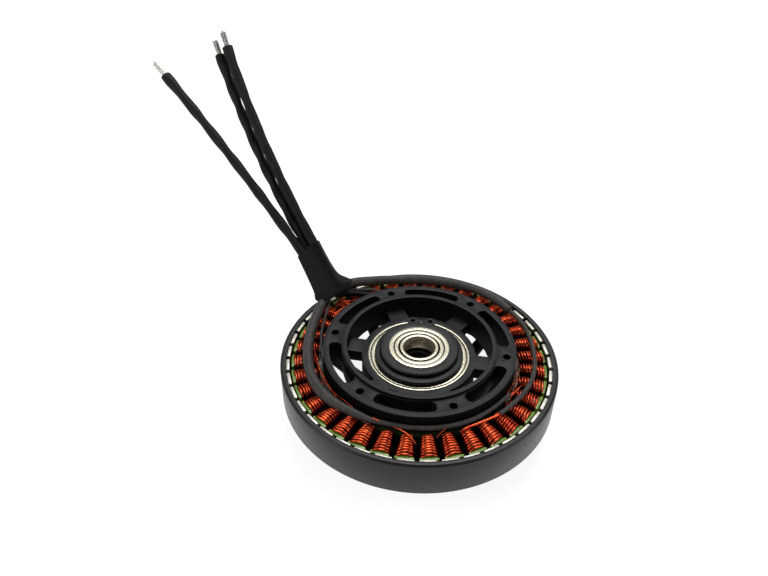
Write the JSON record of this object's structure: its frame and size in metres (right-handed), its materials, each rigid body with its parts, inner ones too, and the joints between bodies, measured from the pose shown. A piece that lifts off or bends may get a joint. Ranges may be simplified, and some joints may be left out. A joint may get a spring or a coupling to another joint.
{
  "type": "direct drive motor",
  "caption": "Flat frameless outrunner motor: magnet ring on a dished spider turning round a wound stator on a slotted hub, with loose phase leads; turns a wheel on a fixed axle.",
  "frame": {"origin": "on the motor axis, at the rest face under the rotor's hub", "axes": "+Z along the motor axis towards the stator's bolting face; the phase leads leave towards -X +Y"},
  "size_m": [0.1444, 0.1294, 0.0936],
  "materials": {
    "ring_coating": "satin dark grey, turned",
    "magnet_plating": "nickel plated, dull",
    "spider_alloy": "dark anodised",
    "hub_alloy": "matte dark anodised",
    "core_epoxy": "gloss green insulating coat",
    "enamelled_wire": "gloss orange-red enamel",
    "bearing_steel": "ground and polished",
    "clip_steel": "phosphated",
    "lead_sleeve": "matte woven sleeve",
    "shrink_sleeve": "smooth shrunk sleeve",
    "harness_sleeve": "matte",
    "tinned_wire": "tinned"
  },
  "bodies": {
    "stator": {"stator_hub": "hub_alloy", "stator_core": "core_epoxy", "phase_a_coils": "enamelled_wire", "phase_b_coils": "enamelled_wire", "phase_c_coils": "enamelled_wire", "upper_thin_outer_race": "bearing_steel", "lower_thin_outer_race": "bearing_steel", "lead_collar": "shrink_sleeve", "phase_lead_left": "lead_sleeve", "phase_lead_middle": "lead_sleeve", "phase_lead_right": "lead_sleeve", "lead_tips": "tinned_wire", "left_sleeve": "harness_sleeve", "front_sleeve": "harness_sleeve", "right_sleeve": "harness_sleeve", "branch_sleeve": "harness_sleeve", "link_wire": "enamelled_wire"},
    "rotor": {"rotor_ring": "ring_coating", "rotor_magnets": "magnet_plating", "rotor_spider": "spider_alloy", "upper_thin_inner_race": "bearing_steel", "lower_thin_inner_race": "bearing_steel", "circlip": "clip_steel", "upper_axle_outer_race": "bearing_steel", "lower_axle_outer_race": "bearing_steel"},
    "axle_races": {"upper_axle_inner_race": "bearing_steel", "axle_spacer": "bearing_steel", "lower_axle_inner_race": "bearing_steel"}
  },
  "joints": [
    {"name": "rotor_spin", "type": "hinge", "parent": "stator", "child": "rotor", "pos_m": [0, 0, 0], "axis": [0, 0, 1], "continuous": true},
    {"name": "axle_race_spin", "type": "hinge", "parent": "rotor", "child": "axle_races", "pos_m": [0, 0, 0], "axis": [0, 0, 1], "continuous": true}
  ]
}
